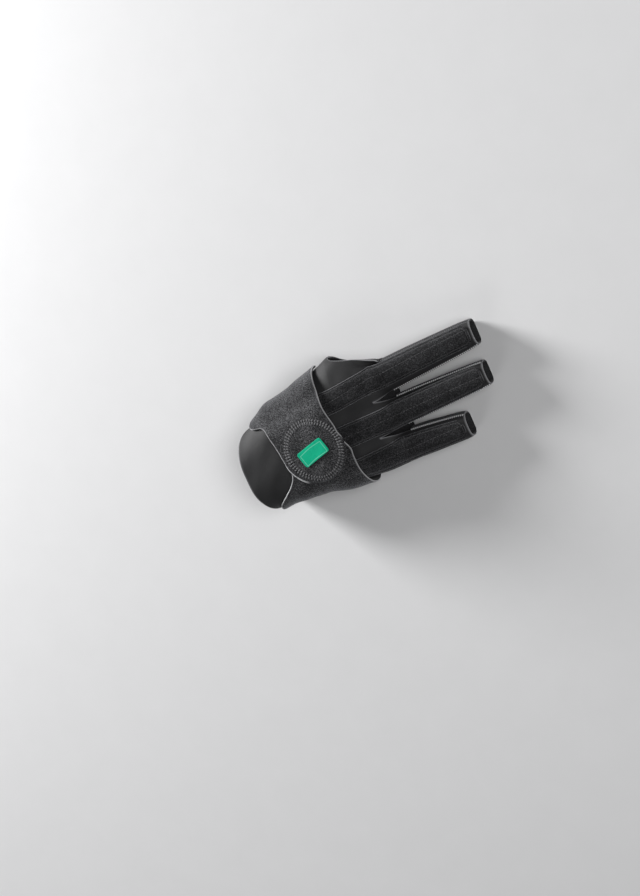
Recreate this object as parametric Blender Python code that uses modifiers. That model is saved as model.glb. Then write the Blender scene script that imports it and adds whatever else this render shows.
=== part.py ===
"""Hand orthosis for the middle, ring and little finger of a right hand, lying palm down.

+X runs from the wrist to the fingertips, +Y to the thumb side and +Z out of the back of
the hand. The origin is on the flat underside of the palm. Lengths are in metres.

Angles round the hand and round a finger start at the thumb side (0), pass over the back
of the hand (90), the little finger's side (180) and the palm (270).
"""

import math
from collections import namedtuple

import bmesh
import bpy
from mathutils import Vector

MM = 0.001

# Fabrics
PANEL_WALL = 2.0 * MM
COVER_WALL = 1.4 * MM
WRAP_WALL = 2.0 * MM
STRAP_WALL = 2.0 * MM
CHANNEL_WALL = 1.6 * MM
PATCH_WALL = 1.2 * MM
LABEL_WALL = 0.6 * MM
SEAM_GAP = 0.3 * MM
LAYER_GAP = 0.45 * MM

# Hand part
CUFF_REACH = 66.0 * MM
CUFF_LOBE = 10.5 * MM
WEB_REACH = 48.0 * MM
RADIAL_REACH = 43.5 * MM
ULNAR_REACH = 50.5 * MM
HAND_HEIGHT = 40.0 * MM
MIDDLE_RING_NOTCH = 35.5 * MM
RING_LITTLE_NOTCH = 29.5 * MM
THUMB_HOLE_LENGTH = 43.0 * MM
THUMB_HOLE_HEIGHT = 32.0 * MM
THUMB_HOLE_CENTRE = -18.5 * MM
THUMB_WEB = 9.5 * MM
PALM_CUTBACK = 5.0 * MM
PALM_CUTBACK_TURN = math.radians(14)

# Finger sleeves
KNUCKLE_HEIGHT = 27.2 * MM
MIDDLE_REACH = 118.0 * MM
MIDDLE_WIDTH = 24.4 * MM
MIDDLE_ROOT = 14.3 * MM
MIDDLE_TIP = 18.9 * MM
RING_REACH = 115.0 * MM
RING_WIDTH = 22.8 * MM
RING_ROOT = -12.6 * MM
RING_TIP = -11.0 * MM
LITTLE_REACH = 88.5 * MM
LITTLE_WIDTH = 23.0 * MM
LITTLE_ROOT = LITTLE_WIDTH / 2 - 0.988 * ULNAR_REACH
LITTLE_TIP = -40.8 * MM

# Stay channels on the back
CHANNEL_WIDTH = 17.0 * MM
CHANNEL_START = -5.0 * MM
CHANNEL_SETBACK = 2.2 * MM
CHANNEL_CORNER = 5.0 * MM
CHANNEL_MARGIN = 1.8 * MM
SIDE_MARGIN = 3.2 * MM
MIDDLE_CHANNEL = 13.3 * MM
RING_CHANNEL = -13.8 * MM
LITTLE_CHANNEL = -40.0 * MM

# Closure
TAB_RADIUS = 23.8 * MM
TAB_X = -16.5 * MM
TAB_Y = -14.0 * MM
PATCH_RADIUS = 21.0 * MM
LABEL_LENGTH = 22.0 * MM
LABEL_WIDTH = 11.3 * MM
LABEL_TURN = math.radians(16)
STRAP_WAIST = 45.4 * MM
STRAP_FRONT = 2.0 * MM
WRAP_BACK = 64.0 * MM
WRAP_FRONT = 11.0 * MM

# Superellipse powers: 1 is an ellipse, smaller is boxier.
BACK_ROUNDNESS = 0.8
PALM_ROUNDNESS = 0.6
PALM_FLATTENING = 1.12
SIDE_SHARE = 0.48
SEAM_ANGLE = math.radians(24.5)

# along: share of the way from the cuff's side edge to the finger webs.
# radial, ulnar: shares of RADIAL_REACH and ULNAR_REACH.
# rise: share of the way from KNUCKLE_HEIGHT up to HAND_HEIGHT.
HandSection = namedtuple("HandSection", "along radial ulnar rise")
HAND_SECTIONS = (
    HandSection(-0.10, 0.380, 0.920, 0.93),
    HandSection(0.00, 0.385, 0.920, 0.97),
    HandSection(0.09, 0.495, 0.902, 1.00),
    HandSection(0.18, 0.620, 0.909, 1.00),
    HandSection(0.24, 0.650, 0.913, 1.00),
    HandSection(0.35, 0.713, 0.929, 1.00),
    HandSection(0.49, 0.816, 0.954, 0.97),
    HandSection(0.62, 0.920, 0.980, 0.86),
    HandSection(0.69, 0.988, 0.994, 0.77),
    HandSection(0.80, 1.000, 1.000, 0.57),
    HandSection(0.90, 0.945, 0.996, 0.31),
    HandSection(1.00, 0.850, 0.988, 0.00),
)

# along: share of the way from the webs to the sleeve's end.
# width and top: shares of the sleeve's width at the web and of KNUCKLE_HEIGHT.
SleeveSection = namedtuple("SleeveSection", "along width top")
SLEEVE_SECTIONS = (
    SleeveSection(0.00, 1.000, 1.00),
    SleeveSection(0.22, 0.985, 0.90),
    SleeveSection(0.45, 0.945, 0.83),
    SleeveSection(0.68, 0.900, 0.78),
    SleeveSection(0.88, 0.850, 0.74),
    SleeveSection(1.00, 0.780, 0.71),
)

# Free edge where the index finger leaves. along: share of the way from the front of the
# thumb's web to its end at the middle finger. inward: share of the way from the thumb
# side's reach to the middle finger's edge.
IndexEdge = namedtuple("IndexEdge", "along inward")
INDEX_EDGE = (
    IndexEdge(0.00, 0.00),
    IndexEdge(0.05, 0.12),
    IndexEdge(0.13, 0.29),
    IndexEdge(0.37, 0.51),
    IndexEdge(0.70, 0.64),
    IndexEdge(0.92, 0.80),
    IndexEdge(1.00, 1.00),
)

# Closure strap's edges round the hand, up to its tab. back and front: shares of
# STRAP_WAIST and STRAP_FRONT.
StrapEdge = namedtuple("StrapEdge", "degrees back front")
STRAP_EDGES = (
    StrapEdge(0, 1.300, 1.00),
    StrapEdge(11, 1.300, 0.95),
    StrapEdge(28, 1.310, 0.90),
    StrapEdge(40, 1.245, 0.90),
    StrapEdge(50, 1.105, 0.95),
    StrapEdge(60, 1.020, 1.05),
    StrapEdge(75, 0.955, 1.45),
    StrapEdge(89, 0.905, 2.70),
)

# Wrap's two edges round the hand. back and front: shares of WRAP_BACK and WRAP_FRONT.
WrapEdge = namedtuple("WrapEdge", "degrees back front")
WRAP_EDGES = (
    WrapEdge(84, 0.60, 0.00),
    WrapEdge(96, 0.60, 0.45),
    WrapEdge(107, 0.63, 0.78),
    WrapEdge(115, 0.66, 0.73),
    WrapEdge(124, 0.73, 0.70),
    WrapEdge(134, 0.83, 0.70),
    WrapEdge(152, 0.98, 0.80),
    WrapEdge(180, 1.00, 1.00),
    WrapEdge(215, 0.93, 1.05),
    WrapEdge(270, 0.86, 1.10),
    WrapEdge(298, 0.87, 0.75),
    WrapEdge(318, 0.91, -0.10),
    WrapEdge(336, 0.94, -1.60),
    WrapEdge(360, 0.96, -2.60),
)

# order: where the sleeve lies in the fork of the back panel, 1 next to the index finger.
# channel: middle line of its stay channel at the hand. shift: share of the width by which
# the channel lies off the sleeve's middle. margin: least rim beside the channel.
Sleeve = namedtuple("Sleeve", "name order reach width root tip channel shift margin")
SLEEVES = (
    Sleeve(
        name="middle",
        order=1,
        reach=MIDDLE_REACH,
        width=MIDDLE_WIDTH,
        root=MIDDLE_ROOT,
        tip=MIDDLE_TIP,
        channel=MIDDLE_CHANNEL,
        shift=0.10,
        margin=CHANNEL_MARGIN,
    ),
    Sleeve(
        name="ring",
        order=2,
        reach=RING_REACH,
        width=RING_WIDTH,
        root=RING_ROOT,
        tip=RING_TIP,
        channel=RING_CHANNEL,
        shift=-0.04,
        margin=CHANNEL_MARGIN,
    ),
    Sleeve(
        name="little",
        order=3,
        reach=LITTLE_REACH,
        width=LITTLE_WIDTH,
        root=LITTLE_ROOT,
        tip=LITTLE_TIP,
        channel=LITTLE_CHANNEL,
        shift=0.0,
        margin=SIDE_MARGIN,
    ),
)
# Angles round the hand at which the index finger's, middle, ring and little lanes meet.
LANE_ANGLES = tuple(math.radians(d) for d in (0, 47, 86, 111.5, 180))
INDEX_COLUMNS = 5
TINE_COLUMNS = 5
COVER_COLUMNS = 12
RIM_TURN = math.radians(3)
CUFF_ROWS = 3
CUFF_TAPER = 15.0 * MM
BODY_SAG = 7.0 * MM
SLEEVE_SAG = 12.0 * MM
RIDE_UP = 22.0 * MM

FLAT_SEAM = math.radians(0.12)
STEP = 0.2 * MM
TURN_STEP = math.radians(0.5)


def clear_scene():
    for obj in list(bpy.data.objects):
        bpy.data.objects.remove(obj)


def material(name, colour, roughness):
    made = bpy.data.materials.new(name)
    made.use_nodes = True
    shader = made.node_tree.nodes["Principled BSDF"]
    shader.inputs["Base Color"].default_value = (*colour, 1)
    shader.inputs["Roughness"].default_value = roughness
    shader.inputs["Metallic"].default_value = 0
    return made


def eased(t):
    t = min(max(t, 0.0), 1.0)
    return t * t * (3 - 2 * t)


def mixed(a, b, t):
    return a + (b - a) * t


def power(value, exponent):
    return math.copysign(abs(value) ** exponent, value)


def slope(table, i, column):
    before, after = table[max(i - 1, 0)], table[min(i + 1, len(table) - 1)]
    return (getattr(after, column) - getattr(before, column)) / (after[0] - before[0])


def read(table, column, at):
    """The named column at a place between the rows, on a smooth curve through them."""
    at = min(max(at, table[0][0]), table[-1][0])
    i = max(k for k in range(len(table) - 1) if table[k][0] <= at)
    low, high = table[i], table[i + 1]
    span = high[0] - low[0]
    t = (at - low[0]) / span
    a, b = getattr(low, column), getattr(high, column)
    p, q = slope(table, i, column) * span, slope(table, i + 1, column) * span
    return (
        a * (2 * t**3 - 3 * t**2 + 1)
        + p * (t**3 - 2 * t**2 + t)
        + b * (3 * t**2 - 2 * t**3)
        + q * (t**3 - t**2)
    )


def superellipse(angle, centre, half, side, top, bottom):
    """(y, z) of a closed section that is flat where it rests."""
    y = centre + half * power(math.cos(angle), BACK_ROUNDNESS)
    rise = math.sin(angle)
    if rise >= 0:
        return y, side + (top - side) * rise**BACK_ROUNDNESS
    return y, side - (side - bottom) * min(1, PALM_FLATTENING * abs(rise) ** PALM_ROUNDNESS)


def hand_along(x):
    return (x + CUFF_REACH) / (CUFF_REACH + WEB_REACH)


def body_bottom(x):
    """The body lies on the wrap, and sags to the floor at the cuff's edge."""
    return (WRAP_WALL + LAYER_GAP) * eased((x + CUFF_REACH) / BODY_SAG)


def hand_top(x):
    rise = read(HAND_SECTIONS, "rise", hand_along(x))
    return mixed(KNUCKLE_HEIGHT, HAND_HEIGHT, rise)


def hand_point(x, angle):
    """A point of the hand part's outer face."""
    along = hand_along(x)
    radial = RADIAL_REACH * read(HAND_SECTIONS, "radial", along)
    ulnar = -ULNAR_REACH * read(HAND_SECTIONS, "ulnar", along)
    top = hand_top(x)
    centre, half = (radial + ulnar) / 2, (radial - ulnar) / 2
    y, z = superellipse(angle, centre, half, SIDE_SHARE * top, top, body_bottom(x))
    return Vector((x, y, z))


def sleeve_point(sleeve, x, angle):
    """A point of a finger sleeve's outer face."""
    along = min(max((x - WEB_REACH) / (sleeve.reach - WEB_REACH), 0), 1)
    top = KNUCKLE_HEIGHT * read(SLEEVE_SECTIONS, "top", along)
    if x < WEB_REACH:
        top = hand_top(x)
    half = sleeve.width / 2 * read(SLEEVE_SECTIONS, "width", along)
    centre = mixed(sleeve.root, sleeve.tip, along)
    bottom = body_bottom(WEB_REACH) * (1 - eased((x - WEB_REACH) / SLEEVE_SAG))
    y, z = superellipse(angle, centre, half, SIDE_SHARE * top, top, bottom)
    return Vector((x, y, z))


def outer_seam(sleeve):
    """The little finger's outer seam lies at its side, in line with the hand's."""
    return math.pi if sleeve.order == 3 else math.pi - SEAM_ANGLE


def notches(sleeve):
    """Where the tine comes free of its neighbours, on its thumb side and its outer side."""
    free = (RING_LITTLE_NOTCH, MIDDLE_RING_NOTCH, RING_LITTLE_NOTCH, RING_LITTLE_NOTCH)
    return free[sleeve.order - 1], free[sleeve.order]


def tine_point(sleeve, x, share):
    """A point of the back panel over one finger; share runs from its thumb side outwards."""
    notch = mixed(*notches(sleeve), share)
    end = WEB_REACH
    hand_angle = mixed(LANE_ANGLES[sleeve.order], LANE_ANGLES[sleeve.order + 1], share)
    sleeve_angle = mixed(SEAM_ANGLE, outer_seam(sleeve), share)
    over_hand = hand_point(x, hand_angle)
    over_finger = sleeve_point(sleeve, x, sleeve_angle)
    blend = eased((x - notch) / (end - notch))
    return over_hand.lerp(over_finger, blend)


def index_point(x, share):
    """A point of the back panel's lane below the index finger."""
    middle = SLEEVES[0]
    outer = hand_point(x, index_angle(x))
    inner_angle = LANE_ANGLES[1]
    point = hand_point(x, mixed(index_angle(x), inner_angle, share))
    inner = tine_point(middle, x, 0)
    if share == 1:
        return inner
    drop = (inner - hand_point(x, inner_angle)) * share
    return (outer if share == 0 else point) + drop


def index_front():
    """Where the free edge of the index finger's opening begins, in front of the thumb's web."""
    return THUMB_HOLE_CENTRE + THUMB_HOLE_LENGTH / 2 + THUMB_WEB


def index_angle(x, cutback=0):
    """Angle round the hand at which the back panel's thumb side ends.

    With a cutback of 1 it is the palm's: cut further in below the middle of the edge."""
    start = index_front()
    if x <= start:
        return FLAT_SEAM
    along = (x - start) / (WEB_REACH - start)
    bow = cutback * 4 * along * (1 - along)
    inward = read(INDEX_EDGE, "inward", along)
    edge = mixed(hand_point(x, 0).y, tine_point(SLEEVES[0], x, 0).y, inward)
    most = LANE_ANGLES[1] + PALM_CUTBACK_TURN * bow
    return min(max(angle_at(x, edge - PALM_CUTBACK * bow), FLAT_SEAM), most)


def angle_at(x, y):
    """Angle round the back of the hand at which it is y wide of the origin."""
    radial, ulnar = hand_point(x, 0).y, hand_point(x, math.pi).y
    share = min(max((y - (radial + ulnar) / 2) / ((radial - ulnar) / 2), -1), 1)
    return math.acos(power(share, 1 / BACK_ROUNDNESS))


def lifted(surface, x, other, lift, step=TURN_STEP):
    """A point lifted off a surface along its outward normal."""
    along = surface(x + STEP, other) - surface(x - STEP, other)
    across = surface(x, other + step) - surface(x, other - step)
    return surface(x, other) + across.cross(along).normalized() * lift


def spread(low, high, count):
    return [mixed(low, high, i / count) for i in range(count + 1)]


def rimmed(low, high, count):
    """Angles with a narrow column at both edges, which squares the rims of a wall."""
    return [low] + spread(low + RIM_TURN, high - RIM_TURN, count) + [high]


def rimmed_shares(low, high, count):
    return [(angle - low) / (high - low) for angle in rimmed(low, high, count)]


def add_grid(mesh, columns, rows, place):
    """Adds a grid of columns by rows faces, whose points are placed by their numbers."""
    made = bmesh.ops.create_grid(mesh, x_segments=columns, y_segments=rows, size=0.5)
    for vertex in made["verts"]:
        column = round((vertex.co.x + 0.5) * columns)
        row = round((vertex.co.y + 0.5) * rows)
        vertex.co = place(column, row)


def fabric(name, mesh, wall, look, flip=False):
    """Makes the mesh an object with a wall that goes inwards from its outer face."""
    bmesh.ops.remove_doubles(mesh, verts=mesh.verts, dist=0.01 * MM)
    bmesh.ops.dissolve_degenerate(mesh, edges=mesh.edges, dist=0.01 * MM)
    if flip:
        bmesh.ops.reverse_faces(mesh, faces=mesh.faces)
    data = bpy.data.meshes.new(name)
    mesh.to_mesh(data)
    mesh.free()
    data.shade_smooth()
    obj = bpy.data.objects.new(name, data)
    parts.objects.link(obj)
    obj.data.materials.append(look)
    shell = obj.modifiers.new("wall", "SOLIDIFY")
    shell.thickness = wall
    shell.offset = -1
    return obj


def cut(obj, cutter):
    taken = obj.modifiers.new("cut " + cutter.name, "BOOLEAN")
    taken.operation = "DIFFERENCE"
    taken.solver = "EXACT"
    taken.object = cutter
    cutter.hide_render = True
    cutter.display_type = "WIRE"


def cylinder_cutter(name, centre, half_length, half_width, depth, tilt):
    """An oval prism along Z, turned about the X axis by tilt."""
    mesh = bmesh.new()
    bmesh.ops.create_cone(
        mesh, cap_ends=True, segments=32, radius1=1, radius2=1, depth=1
    )
    bmesh.ops.scale(mesh, vec=(half_length, half_width, depth), verts=mesh.verts)
    data = bpy.data.meshes.new(name)
    mesh.to_mesh(data)
    mesh.free()
    obj = bpy.data.objects.new(name, data)
    cutters.objects.link(obj)
    obj.location = centre
    obj.rotation_euler = (tilt, 0, 0)
    return obj


def cuff_edge(angle):
    """The cuff reaches further up over the back of the wrist than at its sides."""
    return -CUFF_REACH - CUFF_LOBE * max(math.sin(angle), 0)


def hand_rows():
    """Stations of the back panel from behind the cuff's tapered rows to the first notch."""
    return spread(CUFF_TAPER - CUFF_REACH, RING_LITTLE_NOTCH, 10)


def tine_shares():
    return rimmed_shares(SEAM_ANGLE, math.pi - SEAM_ANGLE, TINE_COLUMNS)


def tine_rows(sleeve):
    """Stations of a tine from behind its first notch to the fingertip."""
    rows = [MIDDLE_RING_NOTCH] + spread(MIDDLE_RING_NOTCH, WEB_REACH, 3)[1:]
    return rows + spread(WEB_REACH, sleeve.reach, 8)[1:]


def lane(mesh, shares, rows, lane_point, lane_angle):
    """Adds one lane of the back panel, whose first rows fan out to the cuff's edge."""
    first = rows[0]

    def place(column, row):
        share = shares[column]
        if row >= CUFF_ROWS:
            return lane_point(rows[row - CUFF_ROWS], share)
        edge = cuff_edge(lane_angle(share))
        return lane_point(mixed(edge, first, row / CUFF_ROWS), share)

    add_grid(mesh, len(shares) - 1, len(rows) - 1 + CUFF_ROWS, place)


def back_panel(look):
    """Back of the cuff and hand, forked over the three fingers, with the index edge."""
    mesh = bmesh.new()
    shared = hand_rows()
    to_index = [MIDDLE_RING_NOTCH] + spread(MIDDLE_RING_NOTCH, WEB_REACH, 3)[1:]
    lane(
        mesh,
        rimmed_shares(LANE_ANGLES[0], LANE_ANGLES[1], INDEX_COLUMNS),
        shared + to_index,
        index_point,
        lambda share: mixed(0, LANE_ANGLES[1], share),
    )
    for sleeve in SLEEVES:
        lane(
            mesh,
            tine_shares(),
            shared + tine_rows(sleeve),
            lambda x, share, s=sleeve: tine_point(s, x, clear_of_seam(s, share)),
            lambda share, s=sleeve: mixed(
                LANE_ANGLES[s.order], LANE_ANGLES[s.order + 1], share
            ),
        )
    return fabric("back_panel", mesh, PANEL_WALL, look)


def clear_of_seam(sleeve, share):
    """The little finger's lane ends just above the seam along the hand's outer side."""
    last = LANE_ANGLES[-1] - LANE_ANGLES[-2]
    return min(share, 1 - FLAT_SEAM / last) if sleeve.order == 3 else share


def palm_panel(look):
    """Palm side of the cuff and hand, with the thumb's hole and the index opening."""
    mesh = bmesh.new()
    rows = [-CUFF_REACH] + spread(BODY_SAG - CUFF_REACH, index_front(), 9)
    rows += spread(index_front(), WEB_REACH, 7)[1:]

    def place(column, row):
        x = rows[row]
        far = 2 * math.pi - index_angle(x, 1)
        return hand_point(x, mixed(math.pi + FLAT_SEAM, far, shares[column]))

    shares = rimmed_shares(math.pi, 2 * math.pi, 16)
    add_grid(mesh, len(shares) - 1, len(rows) - 1, place)
    panel = fabric("palm_panel", mesh, PANEL_WALL, look)
    cut(panel, thumb_cutter("thumb_cutter", 0))
    return panel


def thumb_cutter(name, grown):
    """The thumb's hole lies under the side seam and faces out and down."""
    seam = hand_point(THUMB_HOLE_CENTRE, 0)
    return cylinder_cutter(
        name,
        (THUMB_HOLE_CENTRE, seam.y, seam.z),
        THUMB_HOLE_LENGTH / 2 + grown,
        THUMB_HOLE_HEIGHT / 2 + grown,
        THUMB_HOLE_LENGTH,
        math.radians(90),
    )


def finger_cover(sleeve, look):
    """Palm half of a finger sleeve, a channel sewn along both edges of its tine."""
    mesh = bmesh.new()
    rows = [WEB_REACH + SEAM_GAP] + spread(WEB_REACH, sleeve.reach, 8)[1:]
    low, high = outer_seam(sleeve), 2 * math.pi + SEAM_ANGLE

    def place(column, row):
        # The first row stands clear of the corner where the back panel's lanes part.
        gap = (4 if row == 0 else 1.7) * SEAM_GAP / (sleeve.width / 2)
        angles = rimmed(low + gap, high - gap, COVER_COLUMNS)
        return sleeve_point(sleeve, rows[row], angles[column])

    add_grid(mesh, COVER_COLUMNS + 2, len(rows) - 1, place)
    return fabric("finger_cover_" + sleeve.name, mesh, COVER_WALL, look)


def channel_line(sleeve, x):
    """Middle line of a stay channel, seen from above."""
    off = sleeve.shift * sleeve.width
    if x >= WEB_REACH:
        along = (x - WEB_REACH) / (sleeve.reach - WEB_REACH)
        return mixed(sleeve.root, sleeve.tip, along) + off
    return mixed(sleeve.channel, sleeve.root + off, eased(x / WEB_REACH))


def share_at(sleeve, x, y):
    """Where across its tine the back panel is y wide of the origin."""
    low, high = 0.0, 1.0
    for _ in range(24):
        middle = (low + high) / 2
        if tine_point(sleeve, x, middle).y > y:
            low = middle
        else:
            high = middle
    return (low + high) / 2


def channel_end(sleeve):
    return sleeve.reach - CHANNEL_SETBACK


def stay_channel(sleeve, look):
    """Sewn-on strip that holds a finger's stay, with round corners at the fingertip."""
    mesh = bmesh.new()
    end = channel_end(sleeve)
    turn = end - CHANNEL_CORNER
    rows = [CHANNEL_START] + [x for x in hand_rows() if x > CHANNEL_START]
    rows += [x for x in tine_rows(sleeve) if x < turn - MM]
    rows += [turn + CHANNEL_CORNER * math.sin(math.radians(d)) for d in (0, 35, 65, 90)]
    lift = LAYER_GAP + CHANNEL_WALL

    def surface(x, share):
        return tine_point(sleeve, x, share)

    def place(column, row):
        x = rows[row]
        past = max(x - turn, 0) / CHANNEL_CORNER
        corner = CHANNEL_CORNER * (1 - math.sqrt(max(1 - past * past, 0)))
        half = CHANNEL_WIDTH / 2
        centre = channel_line(sleeve, x)
        left = min(centre + half, surface(x, 0).y - sleeve.margin)
        right = max(centre - half, surface(x, 1).y + sleeve.margin)
        across = mixed(left - corner, right + corner, column / 6)
        return lifted(surface, x, share_at(sleeve, x, across), lift, 0.01)

    add_grid(mesh, 6, len(rows) - 1, place)
    return fabric("stay_channel_" + sleeve.name, mesh, CHANNEL_WALL, look)


def over_channels(x, angle):
    """How far the closure's layers ride up over the channels that run in under them."""
    rise = eased((x - CHANNEL_START) / RIDE_UP + 1)
    sides = eased((math.radians(205) - angle) / math.radians(25))
    return (CHANNEL_WALL + LAYER_GAP) * rise * sides * eased(angle / math.radians(50))


def hand_wrap(look):
    """Velour wrap from under the tab, round the outer side and the palm to the thumb side."""
    mesh = bmesh.new()
    angles = [a for a in column_angles() if a > math.radians(WRAP_EDGES[0].degrees)]
    angles += spread(math.pi, 2 * math.pi - FLAT_SEAM, 18)[1:]

    def place(column, row):
        angle = angles[column]
        degrees = math.degrees(angle)
        back = -WRAP_BACK * read(WRAP_EDGES, "back", degrees)
        front = WRAP_FRONT * read(WRAP_EDGES, "front", degrees)
        x = mixed(back, front, row / 9)
        lift = WRAP_WALL + LAYER_GAP + over_channels(x, angle)
        point = lifted(hand_point, x, angle, lift)
        point.z = max(point.z, 0)
        return point

    add_grid(mesh, len(angles) - 1, 9, place)
    wrap = fabric("hand_wrap", mesh, WRAP_WALL, look)
    cut(wrap, thumb_cutter("wrap_thumb_cutter", 1.5 * MM))
    return wrap


def column_angles():
    """The back panel's column angles, so that what lies on it has its facets over them."""
    angles = spread(LANE_ANGLES[0], LANE_ANGLES[1], INDEX_COLUMNS)
    for i in (1, 2, 3):
        low, high = LANE_ANGLES[i : i + 2]
        angles += [mixed(low, high, share) for share in tine_shares()[1:]]
    return angles


def strap_lift(x, angle):
    """The strap hugs the hand on the thumb side and rides over the wrap and patch."""
    climb = eased((angle - math.radians(52)) / math.radians(22))
    stack = WRAP_WALL + PATCH_WALL + 3 * LAYER_GAP
    return mixed(2 * SEAM_GAP, stack, climb) + over_channels(x, angle)


def tab_angle():
    return angle_at(TAB_X, TAB_Y)


def strap_edges(angle):
    """(back x, front x) of the closure strap at an angle round the hand."""
    y = hand_point(TAB_X, angle).y
    half = math.sqrt(max(TAB_RADIUS**2 - (y - TAB_Y) ** 2, 0))
    if y <= TAB_Y:
        return TAB_X - half, TAB_X + half
    last = math.radians(STRAP_EDGES[-1].degrees)
    degrees = math.degrees(min(angle, last))
    into_tab = eased((angle - last) / (tab_angle() - last))
    return (
        mixed(-STRAP_WAIST * read(STRAP_EDGES, "back", degrees), TAB_X - half, into_tab),
        mixed(STRAP_FRONT * read(STRAP_EDGES, "front", degrees), TAB_X + half, into_tab),
    )


def closure_strap(look):
    """Strap from the thumb side over the back of the hand, with its round tab."""
    mesh = bmesh.new()
    angles = [max(a, FLAT_SEAM) for a in column_angles()]
    angles = [a for a in angles if a < tab_angle() - math.radians(3)]
    ends = [TAB_Y - TAB_RADIUS * math.sin(math.radians(d)) for d in (0, 20, 40, 58, 74, 86)]
    angles += [angle_at(TAB_X, y) for y in ends]

    def place(column, row):
        angle = angles[column]
        x = mixed(*strap_edges(angle), row / 9)
        lift = STRAP_WALL + strap_lift(x, angle)
        return lifted(hand_point, x, angle, lift)

    add_grid(mesh, len(angles) - 1, 9, place)
    return fabric("closure_strap", mesh, STRAP_WALL, look)


def on_tab(x, y, lift):
    angle = angle_at(x, y)
    return lifted(hand_point, x, angle, strap_lift(x, angle) + lift)


def closure_patch(look):
    """Hook disc sewn under the tab, which holds it to the wrap."""
    mesh = bmesh.new()

    def place(column, row):
        turn = 2 * math.pi * column / 28
        radius = PATCH_RADIUS * row / 3
        x, y = TAB_X + radius * math.cos(turn), TAB_Y + radius * math.sin(turn)
        angle = angle_at(x, y)
        lift = PATCH_WALL + WRAP_WALL + 2 * LAYER_GAP + over_channels(x, angle)
        return lifted(hand_point, x, angle, lift)

    add_grid(mesh, 28, 3, place)
    return fabric("closure_patch", mesh, PATCH_WALL, look, flip=True)


def woven_label(look):
    """Plain label sewn on the tab."""
    mesh = bmesh.new()

    def place(column, row):
        a = LABEL_LENGTH * (column / 6 - 0.5)
        b = LABEL_WIDTH * (row / 3 - 0.5)
        x = TAB_X + a * math.cos(LABEL_TURN) - b * math.sin(LABEL_TURN)
        y = TAB_Y + a * math.sin(LABEL_TURN) + b * math.cos(LABEL_TURN)
        return on_tab(x, y, STRAP_WALL + SEAM_GAP + LABEL_WALL)

    add_grid(mesh, 6, 3, place)
    return fabric("woven_label", mesh, LABEL_WALL, look)


def collection(name):
    made = bpy.data.collections.new(name)
    bpy.context.scene.collection.children.link(made)
    return made


clear_scene()
parts = collection("hand_orthosis")
cutters = collection("cutters")
knit = material("knit", (0.035, 0.035, 0.038), 0.75)
cover_knit = material("cover_knit", (0.03, 0.03, 0.032), 0.8)
velour = material("velour", (0.05, 0.05, 0.052), 0.95)
hook = material("hook", (0.02, 0.02, 0.02), 0.6)
label_green = material("label_green", (0.0, 0.42, 0.24), 0.6)

back_panel(knit)
palm_panel(knit)
for each in SLEEVES:
    finger_cover(each, cover_knit)
    stay_channel(each, velour)
hand_wrap(velour)
closure_patch(hook)
closure_strap(velour)
woven_label(label_green)
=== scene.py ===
import math
from functools import partial

import bmesh
import bpy
import numpy as np
from mathutils import Matrix, Vector


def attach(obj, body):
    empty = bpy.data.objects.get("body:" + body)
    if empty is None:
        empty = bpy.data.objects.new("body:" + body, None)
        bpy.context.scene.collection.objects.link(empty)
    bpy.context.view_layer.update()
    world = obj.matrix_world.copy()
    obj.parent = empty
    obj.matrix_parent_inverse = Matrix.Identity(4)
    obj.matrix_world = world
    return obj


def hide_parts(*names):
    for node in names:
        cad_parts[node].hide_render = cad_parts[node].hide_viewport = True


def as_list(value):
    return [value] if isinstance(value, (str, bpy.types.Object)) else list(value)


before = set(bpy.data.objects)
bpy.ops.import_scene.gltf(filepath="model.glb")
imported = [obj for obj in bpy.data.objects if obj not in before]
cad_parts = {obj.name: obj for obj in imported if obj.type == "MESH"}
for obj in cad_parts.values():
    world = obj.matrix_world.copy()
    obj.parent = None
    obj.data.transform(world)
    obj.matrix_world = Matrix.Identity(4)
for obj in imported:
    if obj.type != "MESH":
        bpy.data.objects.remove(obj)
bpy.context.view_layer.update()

mm = 0.001
print("frame loaded")

# Walls and gaps of the cloth layers, as they are cut and sewn.
cloth = {
    "panel": 2.0 * mm,
    "cover": 1.4 * mm,
    "wrap": 2.0 * mm,
    "strap": 2.0 * mm,
    "channel": 1.6 * mm,
    "patch": 1.2 * mm,
    "label": 0.6 * mm,
    "seamGap": 0.3 * mm,
    "layerGap": 0.45 * mm,
    "edgeRound": 0.42,
    # the pale edge line, partly the paler cut edge and partly a painted highlight: its widths and
    # where it starts
    "edgeLineAndHighlight": 0.6 * mm,
    "panelEdgeLineAndHighlight": 0.9 * mm,
    "edgeLineAndHighlightFrom": 0.12 * mm,
    "weld": 0.01 * mm,
}

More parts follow.
